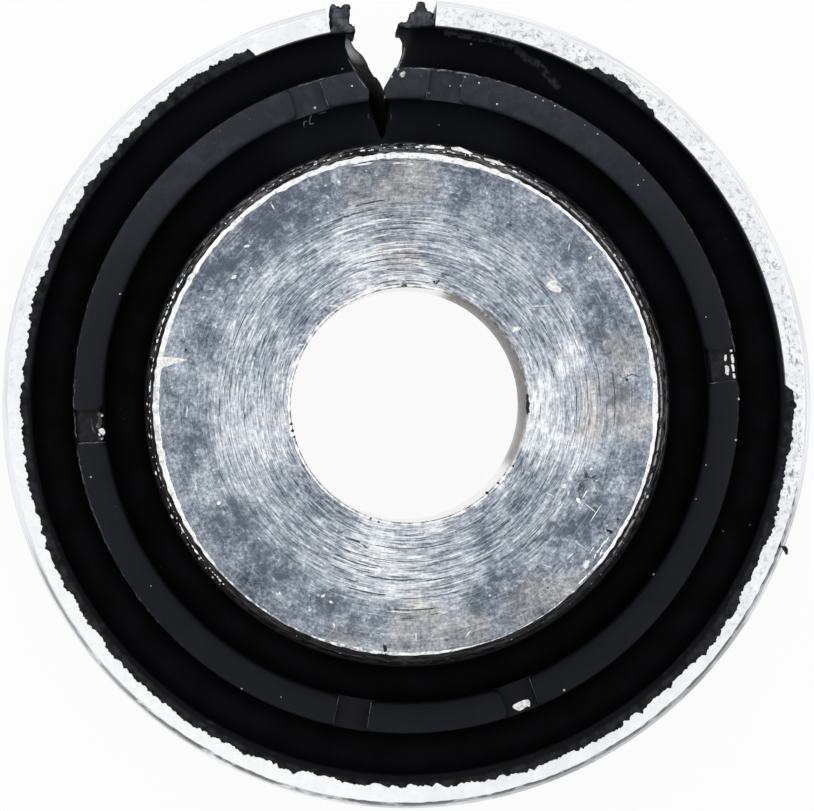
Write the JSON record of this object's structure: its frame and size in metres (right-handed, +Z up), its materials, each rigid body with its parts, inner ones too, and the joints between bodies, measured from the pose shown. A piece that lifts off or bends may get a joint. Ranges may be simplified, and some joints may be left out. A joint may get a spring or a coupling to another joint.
{
  "type": "rubber-metal bush",
  "caption": "Slotted rubber-metal suspension bush: thick inner sleeve with bolt bore, grooved rubber over a split interleaf, and a thin outer sleeve open along one side.",
  "frame": {"origin": "on the axis of the bore, at the lower end face of the inner sleeve", "axes": "+Z up along the bore; +Y through the slot in the rubber at its upper end"},
  "size_m": [0.0416, 0.0415, 0.056],
  "materials": {
    "inner_sleeve": "turned end faces, scratched and stained",
    "outer_sleeve": "satin, finely pitted end faces",
    "rubber": "matt moulded black rubber",
    "interleaf": "black bonding coat, chipped to bare metal in the notches"
  },
  "bodies": {
    "root": {"inner_sleeve": "inner_sleeve", "outer_sleeve": "outer_sleeve", "rubber_body": "rubber", "interleaf_left": "interleaf", "interleaf_right": "interleaf"}
  },
  "joints": []
}
